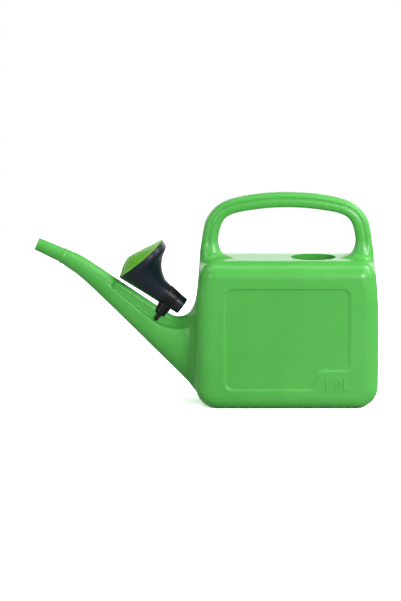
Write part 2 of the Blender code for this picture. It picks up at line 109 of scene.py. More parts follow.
def region(x, z, outline):
    """Signed distance to a closed outline, negative inside: a point is inside where a ray along
    +X crosses the outline an odd number of times."""
    closed = np.vstack([outline, outline[:1]])
    gap, _, _ = nearest(x, z, closed)
    inside = np.zeros(np.shape(x), bool)
    for (ax, az), (bx, bz) in zip(closed[:-1], closed[1:]):
        if az != bz:
            inside ^= ((az > z) != (bz > z)) & (x < (bx - ax) * (z - az) / (bz - az) + ax)
    return np.where(inside, -gap, gap)


# The outline's own points, in millimetres along X and Z
handle_outside = [(149.9, 245.0), (149.7, 262.0), (147.6, 276.0), (145.4, 289.0), (143.2, 302.0),
                  (139.6, 316.0), (133.0, 328.5), (122.5, 340.0), (108.5, 349.3), (90.0, 355.8),
                  (61.0, 361.6), (31.0, 364.8), (0.0, 366.0)]
handle_inside = [(88.0, 253.0), (97.0, 253.6), (104.0, 256.4), (110.0, 261.8), (114.6, 270.5),
                 (116.9, 283.0), (115.4, 296.0), (111.8, 309.0), (105.4, 319.5), (96.5, 325.6),
                 (85.5, 329.4), (73.0, 332.0), (52.0, 335.2), (27.0, 337.7), (0.0, 338.5)]
spout_upper = [(-378.7, 267.9), (-368.5, 263.8), (-357.5, 259.0), (-346.0, 252.6), (-331.0, 242.9),
               (-313.4, 231.0), (-280.0, 208.4), (-245.0, 184.8), (-218.0, 166.5), (-203.5, 157.0),
               (-194.0, 152.2), (-185.0, 150.7), (-176.0, 152.5), (-167.4, 158.2),
               (-159.6, 167.6), (-155.4, 179.6), (-153.6, 193.0), (-151.8, 212.0), (-150.2, 235.0)]
spout_lower = [(-390.1, 243.1), (-382.2, 236.8), (-372.5, 231.2), (-363.5, 225.2), (-352.0, 215.6),
               (-334.0, 199.0), (-300.0, 165.7), (-260.0, 125.9), (-220.0, 85.9), (-180.0, 45.8),
               (-156.0, 21.7), (-145.2, 10.8)]


def mirrored(points):
    """The same points on the other side of the tank's middle, in the opposite order."""
    return [(-x, z) for x, z in points[::-1]]


upper_curve = spline(spout_upper)
lower_curve = spline(spout_lower)
handle_curve = spline(handle_outside + mirrored(handle_outside)[1:])
gap_curve = spline(handle_inside + mirrored(handle_inside)[1:])
tank_side = [(156.0, 90.0), (156.0, 140.0), (155.5, 160.0), (154.6, 180.0), (153.2, 203.0)]
body_outline = np.vstack([
    arc(-119.0, 37.0, 37.0, 225.0, 270.0), arc(119.0, 37.0, 37.0, 270.0, 360.0),
    tank_side, [(151.6, 225.0)], handle_curve, upper_curve[::-1], lower_curve])
tank_outline = np.vstack([
    arc(-119.0, 37.0, 37.0, 180.0, 270.0), arc(119.0, 37.0, 37.0, 270.0, 360.0), tank_side,
    arc(123.3, 225.0, 28.0, 0.0, 90.0), arc(-123.3, 225.0, 28.0, 90.0, 180.0),
    mirrored(tank_side)])


def corner_rounded(points, radii, count=7):
    """Closed outline through corner points with a round of the given radius at each: the arc's
    ends lie the radius over the tangent of half the corner's angle from the corner."""
    p = np.asarray(points, float)
    pieces = []
    for i, radius in enumerate(radii):
        back = p[i - 1] - p[i]
        ahead = p[(i + 1) % len(p)] - p[i]
        back /= np.linalg.norm(back)
        ahead /= np.linalg.norm(ahead)
        half = 0.5 * math.acos(float(back @ ahead))
        middle = (back + ahead) / np.linalg.norm(back + ahead)
        centre = p[i] + middle * radius / math.sin(half)
        first = p[i] + back * radius / math.tan(half) - centre
        last = p[i] + ahead * radius / math.tan(half) - centre
        a0 = math.atan2(first[1], first[0])
        sweep = (math.atan2(last[1], last[0]) - a0 + math.pi) % (2 * math.pi) - math.pi
        a = a0 + sweep * np.linspace(0.0, 1.0, count)
        pieces.append(centre + radius * np.column_stack([np.cos(a), np.sin(a)]))
    return np.vstack(pieces)


panel_outline = corner_rounded(
    [(-107.8, 33.3), (43.0, 33.3), (56.5, 66.5), (106.8, 66.5), (106.8, 209.0), (-107.8, 209.0)],
    [15.0, 4.0, 6.0, 11.0, 15.0, 15.0])
panel_depth = 2.5
panel_bevel = 2.8

tip_angle = math.radians(24.6)
tip_axis = np.array([math.cos(tip_angle), -math.sin(tip_angle)])
tip_end = np.array([-428.6, 276.0])
tip_length = 48.0
step_radius = 13.6
filler_x = 45.3
filler_radius = 38.5


def ease(value, low, high):
    """Smooth step: 3t^2 - 2t^3 of the clamped share t of the way from low to high."""
    t = np.clip((value - low) / (high - low), 0.0, 1.0)
    return t * t * (3.0 - 2.0 * t)


def melt(a, b, reach):
    """Smooth union: the smaller value, less a fillet of (reach - |a - b|)^2 / (4 reach)."""
    h = np.maximum(reach - np.abs(a - b), 0.0)
    return np.minimum(a, b) - h * h / (4.0 * reach)


def trim(a, b, reach):
    """Smooth intersection: the larger value, plus the same fillet."""
    return -melt(-a, -b, reach)


def outline_fields(x, z):
    """Everything about a point that doesn't depend on Y: distances to the outlines and curves."""
    to_upper, upper_side, foot = nearest(x, z, upper_curve)
    to_lower, lower_side, _ = nearest(x, z, lower_curve)
    return {
        "body": region(x, z, body_outline),
        "gap": region(x, z, gap_curve),
        "tank": region(x, z, tank_outline),
        "panel": region(x, z, panel_outline),
        "under_top": -to_upper * upper_side,
        "over_bottom": to_lower * lower_side,
        "foot": foot,
        "z": z,
        "x": x,
    }


# The spout's half width at its belly and at its roof's edge, as (X, half width). Between these two
# stretches of X the roof is the narrow rail for the parking clip: its side stands back below the
# roof, down to a ledge whose depth is given as (X, depth).
belly_widths = np.array([
    (-390.0, 13.6), (-368.0, 14.0), (-346.0, 14.5), (-313.0, 15.4), (-288.0, 16.2), (-266.0, 17.3),
    (-240.0, 19.0), (-215.0, 21.5), (-198.0, 24.5), (-186.0, 27.5), (-176.0, 31.0), (-168.0, 34.0),
    (-160.0, 37.5), (-150.0, 42.0)]).T
shoulder_widths = np.array([
    (-390.0, 12.9), (-376.0, 12.9), (-346.0, 13.0), (-288.0, 14.0), (-240.0, 16.0), (-190.0, 21.0),
    (-178.0, 22.0), (-165.0, 24.0), (-150.0, 28.0)]).T
rail_begins, rail_ends = (-294.5, -287.5), (-191.0, -170.0)
rail_half_width, rail_waist, rail_lip = 6.8, 5.6, 1.2
ledge_depths = np.array([
    (-296.0, 12.0), (-290.0, 15.2), (-219.0, 22.6), (-208.0, 22.6), (-192.0, 18.2),
    (-178.0, 17.0)]).T
ledge_width, ledge_round = 24.0, 3.4
roof_depth, roof_power = 8.2, 0.72
full_roof_height = 22.0


def spout_half_width(depth, height, foot):
    """Half width of the spout below its top line: a roof that widens as depth^0.72 down to an
    edge, a side that eases out to the belly, and an underside of (1 - share^2.2)^0.5. Along the
    rail the side is cut back to the rail's waist, and comes out again at the ledge."""
    belly = np.interp(foot, *belly_widths)
    shoulder = np.interp(foot, *shoulder_widths)
    along = ease(foot, *rail_begins) * (1.0 - ease(foot, *rail_ends))
    edge = shoulder + along * (rail_half_width - shoulder)
    roof = roof_depth * np.clip(height / full_roof_height, 0.0, 1.0)
    middle = np.maximum(0.5 * height, roof + 2.0)
    top = edge * np.clip(depth / roof, 0.0, 1.0) ** roof_power
    side = shoulder + (belly - shoulder) * ease(depth, roof - 1.0, middle)
    below = np.clip((depth - middle) / np.maximum(height - middle, 1.0), 0.0, 1.0)
    under = np.sqrt(np.maximum(1.0 - below ** 2.2, 0.0))
    width = np.where(depth < roof, top, side * under)
    ledge = np.interp(foot, *ledge_depths)
    recess = rail_waist + rail_lip * (1.0 - ease(depth, roof, roof + 1.6))
    recess = recess + ledge_width * ease(depth, ledge, ledge + ledge_round)
    return np.where(depth < roof, width, width + along * (np.minimum(recess, width) - width))


# The rounding of the tank's long edges; the handle's section, root, limits and groove; how far
# from the tip the spout is round, and where it has its full section; and the fillets.
edge_round, rounder_at_top, tighter_at_base = 25.0, 6.0, 3.0
handle_half_width, root_flare, handle_power = 14.8, 5.0, 2.5
handle_root, handle_neck = 252.0, 285.0
leg_inside, under_grip, handle_bottom, handle_left = 98.0, 300.0, 224.0, -152.0
groove_depth, groove_reach, groove_share, groove_starts = 2.3, 2.3, 0.40, 258.0
round_tube, full_spout = 3.0, 26.0
spout_fillet, handle_fillet, outline_fillet, tip_fillet = 18.0, 12.0, 2.5, 1.2


def shell_field(f, y):
    """Signed measure of the shell's outside, in millimetres, negative inside the can: the smooth
    union of three, which are the tank, a box rounded along its long edges, the handle, whose
    section is (|y / half|^p + |2 share - 1|^p)^(1/p) = 1, and the spout, (y - half width) over
    the length of its slope, which becomes a round cylinder near the tip."""
    y = np.abs(y)
    x, z = f["x"], f["z"]
    sunk = panel_depth * ease(-f["panel"], 0.0, panel_bevel)
    edge = (edge_round + rounder_at_top * ease(z, 190.0, 245.0)
            - tighter_at_base * (1.0 - ease(z, 0.0, 40.0)))
    a = f["tank"] + edge
    b = y + sunk - tank_half_depth + edge
    tank = (np.hypot(np.maximum(a, 0.0), np.maximum(b, 0.0))
            + np.minimum(np.maximum(a, b), 0.0) - edge)

    outer, inner = -f["body"], f["gap"]
    thick = np.maximum(outer + inner, 4.0)
    share = outer / thick
    half = handle_half_width + root_flare * (1.0 - ease(z, handle_root, handle_neck))
    off_groove = (share - groove_share) * thick / groove_reach
    half = half - groove_depth * np.exp(-off_groove ** 2) * ease(z, groove_starts, handle_neck)
    bar = ((y / half) ** handle_power
           + np.abs(2.0 * share - 1.0) ** handle_power) ** (1.0 / handle_power) - 1.0
    # The handle keeps out of the tank's lower part, of the spout and of the gap between its legs
    between_legs = np.minimum(leg_inside - np.abs(x), under_grip - z)
    elsewhere = np.maximum(np.maximum(handle_bottom - z, handle_left - x), between_legs)
    bar = trim(bar * 0.5 * np.minimum(thick, 29.0), elsewhere, 4.0)

    depth = f["under_top"]
    height = np.maximum(depth + f["over_bottom"], 8.0)
    width = spout_half_width(depth, height, f["foot"])
    outside = np.maximum(np.maximum(-depth, depth - height), 0.0)
    width = width * (1.0 - ease(z, 160.0, 214.0) * ease(x, -176.0, -166.0))
    width = np.minimum(width, 5.0 * np.minimum(depth, height - depth)) - 5.0 * outside
    change = (spout_half_width(depth + 0.5, height, f["foot"])
              - spout_half_width(depth - 0.5, height, f["foot"]))
    spout = (y - width) / np.sqrt(1.0 + np.clip(change, -5.0, 5.0) ** 2)
    ahead = (x - tip_end[0]) * tip_axis[0] + (z - tip_end[1]) * tip_axis[1] - tip_length
    above = (z - tip_end[1]) * tip_axis[0] - (x - tip_end[0]) * tip_axis[1]
    round_share = 1.0 - ease(ahead, round_tube, full_spout)
    spout = spout + round_share * (np.hypot(above, y) - step_radius - spout)
    spout = trim(spout, -ahead, tip_fillet)
    # The spout's own shape ends inside the tank, below the handle's root
    spout = np.where(x > -172.0, np.maximum(spout, np.maximum(z - 216.0, x + 128.0)), spout)

    field = melt(tank, trim(spout, f["body"], outline_fillet), spout_fillet)
    field = melt(field, trim(bar, f["body"], outline_fillet), handle_fillet)
    raised = ease(z, tank_top, 260.0)
    field = trim(field, -f["gap"] - 3.0 * (1.0 - raised), 0.1 + 2.4 * raised)
    return np.maximum(field, f["body"])


def steps(*stretches):
    """Grid lines: each stretch is (from, to, spacing), its ends shared with its neighbours."""
    lines = [np.linspace(a, b, max(2, int(round((b - a) / s)) + 1))[:-1] for a, b, s in stretches]
    return np.concatenate(lines + [[stretches[-1][1]]])


def bent(x, z):
    """Where the grid's nodes lie. Left of the tank the level lines run along the spout's top line
    and keep their distances from it, so they are stretched by 1 / cos of its slope. Over the tank
    they follow the handle's arch, and the upright lines lean with its legs."""
    top = upper_curve[upper_curve[:, 0] < -190.0]
    line = np.interp(x, top[:, 0], top[:, 1])
    secant = np.interp(x, top[:, 0], np.hypot(1.0, np.gradient(top[:, 1], top[:, 0])))
    new_z = line + (z - top[-1, 1]) * (1.0 + (secant - 1.0) * (1.0 - ease(x, -218.0, -194.0)))
    crest = handle_curve[:len(handle_curve) // 2][::-1]
    out = np.abs(x)
    sag = np.interp(np.minimum(out, 112.0), crest[:, 0], crest[:, 1]) - crest[0, 1]
    lean = np.interp(-np.clip(z, 262.0, 318.0), -crest[:, 1], crest[:, 0]) - 149.7
    over_tank = ease(x, -185.0, -165.0)
    new_x = x + over_tank * np.sign(x) * lean * ease(out, 88.0, 128.0)
    return new_x, new_z + over_tank * sag * ease(z, 258.0, 335.0)


def skin(place, field):
    """Surface nets: one vertex in each cell that the surface passes through, at the mean of the
    crossings of its twelve edges, and one quad across each grid edge that it crosses. A crossing
    lies the share f0 / (f0 - f1) of the way along its edge."""
    inside = field < 0.0
    size = np.array(inside.shape) - 1
    total = np.zeros(tuple(size) + (3,))
    count = np.zeros(tuple(size))
    crossings = []
    for axis in range(3):
        low = [slice(None)] * 3
        high = [slice(None)] * 3
        low[axis] = slice(0, -1)
        high[axis] = slice(1, None)
        low, high = tuple(low), tuple(high)
        where = np.argwhere(inside[low] != inside[high])
        far = where.copy()
        far[:, axis] += 1
        f0 = field[tuple(where.T)]
        f1 = field[tuple(far.T)]
        start, end = place[tuple(where.T)], place[tuple(far.T)]
        spot = start + (end - start) * (f0 / (f0 - f1))[:, None]
        crossings.append((where, f0 < 0.0))
        others = [k for k in range(3) if k != axis]
        for du in (0, 1):
            for dv in (0, 1):
                cell = where.copy()
                cell[:, others[0]] -= du
                cell[:, others[1]] -= dv
                ok = ((cell >= 0) & (cell < size)).all(axis=1)
                np.add.at(total, tuple(cell[ok].T), spot[ok])
                np.add.at(count, tuple(cell[ok].T), 1.0)
    number = np.full(tuple(size), -1)
    used = count > 0
    number[used] = np.arange(used.sum())
    points = total[used] / count[used][:, None]
    quads = []
    for axis, (where, leaving) in enumerate(crossings):
        u, v = (axis + 1) % 3, (axis + 2) % 3
        corner = []
        for du, dv in ((1, 1), (0, 1), (0, 0), (1, 0)):
            cell = where.copy()
            cell[:, u] -= du
            cell[:, v] -= dv
            corner.append(number[tuple(cell.T)])
        quad = np.column_stack(corner)
        quads.append(np.where(leaving[:, None], quad, quad[:, ::-1]))
    return points, np.vstack(quads)


longest_move = 1.2


def settle(points, rounds):
    """Newton steps on to the surface: p - F grad F / |grad F|^2, with the gradient from small
    differences and no step longer than the longest move."""
    p = points.copy()
    h = 0.05
    for _ in range(rounds):
        here = outline_fields(p[:, 0], p[:, 2])
        value = shell_field(here, p[:, 1])
        slope = np.empty_like(p)
        slope[:, 0] = (shell_field(outline_fields(p[:, 0] + h, p[:, 2]), p[:, 1]) - value) / h
        slope[:, 1] = (shell_field(here, p[:, 1] + h) - shell_field(here, p[:, 1] - h)) / (2 * h)
        slope[:, 2] = (shell_field(outline_fields(p[:, 0], p[:, 2] + h), p[:, 1]) - value) / h
        square = np.maximum((slope ** 2).sum(axis=1), 0.2)
        move = slope * (value / square)[:, None]
        length = np.linalg.norm(move, axis=1)
        p -= move * np.minimum(1.0, longest_move / np.maximum(length, 1e-9))[:, None]
    return p


# Grid lines, closer together where the shape turns: at the panel's border, the rail's end, the
# ledge and the handle's crest. Round the filler they are even, so that a ring of cells fits it.
coarse = 1.0 if fine else 1.6
ring_cells = 9
pitch = filler_radius / ring_cells
even_half = 14.5 * pitch
x_lines = np.concatenate([
    steps((-404.0, -318.0, 3.6 * coarse), (-318.0, -300.0, 3.6 * coarse),
          (-300.0, -284.0, 1.6 * coarse), (-284.0, -196.0, 4.0 * coarse),
          (-196.0, -160.0, 2.6 * coarse), (-160.0, -143.0, 2.8 * coarse),
          (-143.0, -133.0, 1.25 * coarse), (-133.0, -112.0, 3.0 * coarse),
          (-112.0, -98.0, 1.5 * coarse), (-98.0, filler_x - even_half, 6.2 * coarse))[:-1],
    filler_x + pitch * (np.arange(-14, 16) - 0.5),
    steps((filler_x + even_half, 112.0, 1.5 * coarse), (112.0, 133.0, 3.0 * coarse),
          (133.0, 143.0, 1.25 * coarse), (143.0, 160.0, 2.8 * coarse))])
half_y = np.concatenate([pitch * (np.arange(0, 15) + 0.5),
                         steps((even_half, 79.6, 2.5 * coarse))[1:]])
y_lines = np.concatenate([-half_y[::-1], half_y])
z_lines = steps((-2.0, 1.6, 1.8), (1.6, 31.0, 2.9 * coarse), (31.0, 38.0, 1.3 * coarse),
                (38.0, 64.0, 3.4 * coarse), (64.0, 70.0, 1.2), (70.0, 118.0, 4.2 * coarse),
                (118.0, 155.0, 1.6 * coarse), (155.0, 203.0, 4.2 * coarse),
                (203.0, 211.0, 1.3 * coarse), (211.0, 252.0, 2.9 * coarse), (252.0, 254.0, 2.0),
                (254.0, 350.0, 3.0 * coarse), (350.0, 360.0, 1.1 * coarse),
                (360.0, 371.0, 2.4 * coarse))


# How near the tank's top a point lies on it, how far past the filler its rings turn back into
# squares, as a share of its radius, and the cap inside the tip's wall at the spout's step
on_top, turn_back = 1.2, 0.36
cap_radius, cap_level = 12.2, 0.9
step_bore, step_level = 11.7, 0.3


def opened(points, quads):
    """The shell's skin with its two openings. Round the filler, each square ring of cells at
    distance c from the middle becomes a circle of radius c: a point at the share r of its side
    goes to the angle r pi / 4. Outside the hole it eases back to its place. At the spout's step
    the cap inside the tip's wall is left out."""
    dx, dy = points[:, 0] - filler_x, points[:, 1]
    square = np.maximum(np.abs(dx), np.abs(dy))
    top = np.abs(points[:, 2] - tank_top) < on_top
    long_x = np.abs(dx) >= np.abs(dy)
    ratio = np.where(long_x, dy, dx) / np.maximum(square, 1e-9)
    turn = 0.25 * math.pi * ratio
    major = square * np.cos(turn) * np.where(long_x, np.sign(dx), np.sign(dy))
    minor = square * np.sin(turn)
    round_x = np.where(long_x, major, minor)
    round_y = np.where(long_x, minor, major)
    back = np.clip((square - filler_radius) / (turn_back * filler_radius), 0.0, 1.0)
    moved = points.copy()
    near = top & (square < (1.0 + turn_back) * filler_radius)
    moved[near, 0] = filler_x + ((1.0 - back) * round_x + back * dx)[near]
    moved[near, 1] = ((1.0 - back) * round_y + back * dy)[near]
    middle = points[quads].mean(axis=1)
    in_filler = np.maximum(np.abs(middle[:, 0] - filler_x), np.abs(middle[:, 1])) < filler_radius
    in_filler &= top[quads].all(axis=1)
    across = np.array([-tip_axis[1], tip_axis[0]])
    reach = (points[:, ::2] - tip_end) @ tip_axis
    off = (points[:, ::2] - tip_end) @ across
    from_axis = np.hypot(off, points[:, 1])
    cap = (reach < tip_length + cap_level) & (from_axis < cap_radius)
    in_tip = cap[quads].all(axis=1)
    keep = ~(in_filler | in_tip)
    edge_of_cap = np.intersect1d(quads[in_tip], quads[keep])
    centre = tip_end + tip_axis * (tip_length + step_level)
    scale = step_bore / np.maximum(from_axis[edge_of_cap], 1e-6)
    moved[edge_of_cap, 0] = centre[0] + across[0] * off[edge_of_cap] * scale
    moved[edge_of_cap, 2] = centre[1] + across[1] * off[edge_of_cap] * scale
    moved[edge_of_cap, 1] = points[edge_of_cap, 1] * scale
    used, number = np.unique(quads[keep], return_inverse=True)
    return moved[used], number.reshape(-1, 4)


def point_normals(points, quads):
    """Unit normal at each point: the sum of the cross products of its quads' diagonals."""
    a, b, c, d = (points[quads[:, k]] for k in range(4))
    cross = np.cross(c - a, d - b)
    total = np.zeros_like(points)
    for k in range(4):
        np.add.at(total, quads[:, k], cross)
    return total / np.maximum(np.linalg.norm(total, axis=1), 1e-12)[:, None]


def thickened(points, quads, depth):
    """A closed wall: the skin, the skin moved in along its normals, and a rim along each free
    edge, which is an edge that only one quad has."""
    normal = point_normals(points, quads)
    count = len(points)
    edges = np.vstack([quads[:, [k, (k + 1) % 4]] for k in range(4)])
    key = np.sort(edges, axis=1)
    _, first, times = np.unique(key, axis=0, return_index=True, return_counts=True)
    free = edges[first[times == 1]]
    rim = np.column_stack([free[:, 1], free[:, 0], free[:, 0] + count, free[:, 1] + count])
    return (np.vstack([points, points - normal * depth]),
            np.vstack([quads, quads[:, ::-1] + count, rim]))


def placed(name, data):
    """An object of the scene from a mesh, a lamp or a camera."""
    made = bpy.data.objects.new(name, data)
    bpy.context.collection.objects.link(made)
    return made


def solid_from(name, points, faces, soft=40.0):
    """A mesh object from points in millimetres and faces, smooth but for edges past an angle."""
    mesh = bpy.data.meshes.new(name)
    faces = np.asarray(faces)
    mesh.vertices.add(len(points))
    mesh.vertices.foreach_set("co", (np.asarray(points) * MM).ravel())
    mesh.loops.add(faces.size)
    mesh.loops.foreach_set("vertex_index", faces.ravel())
    mesh.polygons.add(len(faces))
    mesh.polygons.foreach_set("loop_start", np.arange(len(faces)) * faces.shape[1])
    mesh.update(calc_edges=True)
    mesh.validate()
    mesh.shade_smooth()
    mesh.set_sharp_from_angle(angle=math.radians(soft))
    return placed(name, mesh)


plan_x, plan_z = np.meshgrid(x_lines, z_lines, indexing="ij")
plan_x, plan_z = bent(plan_x, plan_z)
plan = {key: value[:, None, :] for key, value in outline_fields(plan_x, plan_z).items()}
half_field = shell_field(plan, half_y[None, :, None])
field = np.concatenate([half_field[:, ::-1, :], half_field], axis=1)
place = np.stack(np.broadcast_arrays(plan_x[:, None, :], y_lines[None, :, None],
                                     plan_z[:, None, :]), axis=-1)
points, quads = skin(place, field)
points, quads = opened(points, quads)
points = settle(points, 3 if fine else 1)
points, quads = thickened(points, quads, wall)
shell = solid_from("can_shell", points, quads, soft=60.0)


def ring_grid(rings, loop=False):
    """Quads between neighbouring rings of equal count, closed round each ring: point j of ring i
    is joined to point j + 1 and to ring i + 1. With loop, the last ring is joined to the first."""
    rows, count = rings.shape[:2]
    at = np.arange(rows * count).reshape(rows, count)
    if loop:
        at = np.vstack([at, at[:1]])
    turn = np.roll(at, -1, axis=1)
    quads = np.stack([at[:-1], turn[:-1], turn[1:], at[1:]], axis=-1).reshape(-1, 4)
    return rings.reshape(-1, 3), quads


def full_turn(count):
    """Even angles round a circle, from 0 up to but not including 2 pi."""
    return np.linspace(0.0, 2.0 * math.pi, count, endpoint=False)


def turned(origin, axis, profile, count=64):
    """Surface of revolution: each profile point (distance along the axis, radius) becomes a circle
    origin + axis * distance + radius * (u cos a + v sin a), with v along Y and u square to both."""
    axis = np.asarray(axis, float)
    v = np.array([0.0, 1.0, 0.0])
    u = np.cross(v, axis)
    profile = np.asarray(profile, float)
    a = full_turn(count)[None, :, None]
    middle = np.asarray(origin, float) + profile[:, 0][:, None] * axis
    return middle[:, None, :] + profile[:, 1][:, None, None] * (u * np.cos(a) + v * np.sin(a))


# The spout's reduced tip, where the rose is pushed on, is a turned tube of the same moulding: it is
# cut square at its end, widens a little towards the step, and its bore runs on into the spout.
tip_profile = [(54.0, 10.4), (47.0, 10.4), (24.0, 9.8), (1.2, 9.3), (0.4, 9.45), (0.0, 9.8),
               (0.0, 10.4), (0.35, 10.85), (1.2, 11.05), (24.0, 11.75), (46.9, 12.45),
               (47.3, 12.55), (47.3, 13.3), (47.6, 13.65), (48.2, 13.75), (50.5, 13.7),
               (54.0, 12.2)]
tip_rings = turned((tip_end[0], 0.0, tip_end[1]), (tip_axis[0], 0.0, tip_axis[1]), tip_profile)
tip_tube = solid_from("spout_tip", *ring_grid(tip_rings, loop=True))


# The filler's edge is turned down inside the tank as a short neck, which keeps water from
# splashing out.
lip_profile = [(14.0, 40.2), (1.0, 40.2), (0.4, 40.0), (0.3, 39.6), (0.45, 38.7), (0.7, 38.45),
               (13.4, 38.45), (13.9, 38.7), (14.1, 39.3), (14.1, 39.9)]
lip_rings = turned((filler_x, 0.0, tank_top), (0.0, 0.0, -1.0), lip_profile, 96)
filler_lip = solid_from("filler_lip", *ring_grid(lip_rings, loop=True))


def bead(path, profile, face, closed=False):
    """Profile of six points (across, height) carried along a path on the front. At a corner the
    profile lies along the mitre, which is (n1 + n2) / (1 + n1 . n2) for the two runs' normals."""
    path = np.asarray(path, float)
    ahead = np.diff(np.vstack([path, path[:1]]), axis=0)
    if not closed:
        ahead[-1] = ahead[-2]
    ahead /= np.linalg.norm(ahead, axis=1)[:, None]
    back = np.roll(ahead, 1, axis=0)
    if not closed:
        back[0] = ahead[0]
    n1, n2 = (np.column_stack([-run[:, 1], run[:, 0]]) for run in (back, ahead))
    mitre = (n1 + n2) / (1.0 + (n1 * n2).sum(axis=1))[:, None]
    across, height = np.asarray(profile, float).T
    spot = path[:, None, :] + mitre[:, None, :] * across[None, :, None]
    level = np.broadcast_to(face - height[None, :], spot.shape[:2])
    rings = np.stack([spot[..., 0], level, spot[..., 1]], axis=-1)
    points, quads = ring_grid(rings, loop=closed)
    if not closed:
        last = len(points) - len(across)
        ends = np.array([[0, 1, 4, 5], [1, 2, 3, 4]])
        quads = np.vstack([quads, ends[:, ::-1], ends + last])
    return points, quads


# Raised capacity figure in the corner that the panel leaves free: a plain 10 and a litre mark
mark_bottom, mark_top = 33.4, 55.8
stroke_half = 1.7
stroke = [(-1.7, -0.4), (-1.6, 0.75), (-1.2, 1.1), (1.2, 1.1), (1.6, 0.75), (1.7, -0.4)]
low_stroke = [(across, height - 0.12) for across, height in stroke]
oval_middle, oval_radius = 84.6, 3.7
oval = np.vstack([
    arc(oval_middle, mark_top - stroke_half - oval_radius, oval_radius, 0.0, 180.0, 12),
    arc(oval_middle, mark_bottom + stroke_half + oval_radius, oval_radius, 180.0, 360.0, 12)])
marks = [
    bead([(66.4, mark_bottom), (66.4, mark_top)], stroke, -tank_half_depth),
    bead([(58.9, 49.6), (61.6, 51.0), (65.8, 54.6)], low_stroke, -tank_half_depth),
    bead(oval, stroke, -tank_half_depth, closed=True),
    bead([(96.6, mark_top), (96.6, mark_bottom + stroke_half), (107.2, mark_bottom + stroke_half)],
         stroke, -tank_half_depth)]
starts = np.cumsum([0] + [len(p) for p, _ in marks[:-1]])
capacity_mark = solid_from("capacity_mark", np.vstack([p for p, _ in marks]),
                           np.vstack([q + start for (_, q), start in zip(marks, starts)]))


class Amount:
    """What a node's socket gives over a surface. Python's operators on it add Math nodes."""

    def __init__(self, nodes, socket):
        self.nodes = nodes
        self.socket = socket

    def maths(self, operation, *values):
        return self.nodes.node("ShaderNodeMath", {"operation": operation}, dict(enumerate(values)))

    def __add__(self, other):
        return self.maths("ADD", self, other)

    __radd__ = __add__

    def __sub__(self, other):
        return self.maths("SUBTRACT", self, other)

    def __rsub__(self, other):
        return self.maths("SUBTRACT", other, self)

    def __mul__(self, other):
        return self.maths("MULTIPLY", self, other)

    __rmul__ = __mul__

    def __abs__(self):
        return self.maths("ABSOLUTE", self)

    def at_least(self, other):
        return self.maths("MAXIMUM", self, other)

    def between(self, low, high):
        """0 below low, 1 above high, and smooth between them."""
        return self.nodes.node("ShaderNodeMapRange", {"interpolation_type": "SMOOTHSTEP"},
                               {"Value": self, "From Min": low, "From Max": high})


class Nodes:
    """The nodes of a material or of the surround, with one way to add any of them."""

    def __init__(self, owner):
        owner.use_nodes = True
        self.tree = owner.node_tree

    def feed(self, node, inputs):
        """Set a node's sockets: a link from an Amount, or else a value."""
        for key, value in inputs.items():
            if isinstance(value, Amount):
                self.tree.links.new(value.socket, node.inputs[key])
            else:
                node.inputs[key].default_value = value

    def node(self, kind, settings, inputs, output=0):
        """Add a node: its settings first, then the values or links of its sockets."""
        made = self.tree.nodes.new(kind)
        for key, value in settings.items():
            setattr(made, key, value)
        self.feed(made, inputs)
        return Amount(self, made.outputs[output])


class Finish(Nodes):
    """A material on a Principled shader, with the nodes that the finishes share."""

    def __init__(self, name, **fixed):
        self.material = bpy.data.materials.new(name)
        super().__init__(self.material)
        self.shader = self.tree.nodes["Principled BSDF"]
        self.feed(self.shader, {key.replace("_", " "): value for key, value in fixed.items()})
        self.place = self.node("ShaderNodeTexCoord", {}, {}, "Object")

    def noise(self, scale, detail=3.0, stretch=(1.0, 1.0, 1.0), roughness=0.55):
        """Fractal noise on object coordinates, scale in cells per metre."""
        place = self.node("ShaderNodeMapping", {}, {"Vector": self.place, "Scale": stretch})
        return self.node("ShaderNodeTexNoise", {},
                         {"Vector": place, "Scale": scale, "Detail": detail,
                          "Roughness": roughness})

    def axis(self, name):
        """One of the object coordinates, in metres."""
        return self.node("ShaderNodeSeparateXYZ", {}, {"Vector": self.place}, name)

    def blend(self, share, first, second):
        """Colour that goes from the first to the second."""
        first, second = (c if isinstance(c, Amount) else (*c, 1.0) for c in (first, second))
        return self.node("ShaderNodeMix", {"data_type": "RGBA"},
                         {0: share, 6: first, 7: second}, 2)

    def surface(self, colour, roughness, height):
        """Feed the shader with a colour, a roughness and a relief height in metres."""
        relief = self.node("ShaderNodeBump", {}, {"Height": height, "Distance": 1.0})
        self.feed(self.shader, {"Base Color": colour, "Roughness": roughness, "Normal": relief})


def dress(piece, finish, node, body):
    """Put one finish on a piece that stands for a node, and let it ride on that node's body."""
    piece.data.materials.clear()
    piece.data.materials.append(finish.material)
    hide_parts(node)
    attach(piece, body)


# Green polyethylene: satin from the blasted mould, a little cloudy, with the mould's parting line
# as a fine ridge at y = 0, faint upright flow streaks, and pale scuffs where the base rubs.
green = Finish("green_polyethylene", IOR=1.5, Specular_IOR_Level=0.42, Subsurface_Weight=0.3,
               Subsurface_Radius=(0.5, 1.0, 0.45), Subsurface_Scale=0.004)
cloud = green.noise(7.0, 2.0)
streaks = green.noise(26.0, 4.0, (1.0, 1.0, 0.18))
grain = green.noise(1500.0, 2.0)
swell = green.noise(30.0, 1.0)
seam = 1.0 - abs(green.axis("Y")).between(0.0002, 0.0011)
scuff = green.noise(420.0, 5.0, (0.35, 0.35, 1.0), 0.7).between(0.56, 0.70)
wear = scuff * (1.0 - green.axis("Z").between(0.001, 0.016))
deep_green, full_green = (0.066, 0.380, 0.055), (0.078, 0.408, 0.064)
streak_green, seam_green = (0.092, 0.428, 0.078), (0.112, 0.460, 0.096)
scuffed_green = (0.230, 0.520, 0.210)
tone = green.blend(cloud.between(0.3, 0.7), deep_green, full_green)
tone = green.blend(streaks.between(0.42, 0.75) * 0.22, tone, streak_green)
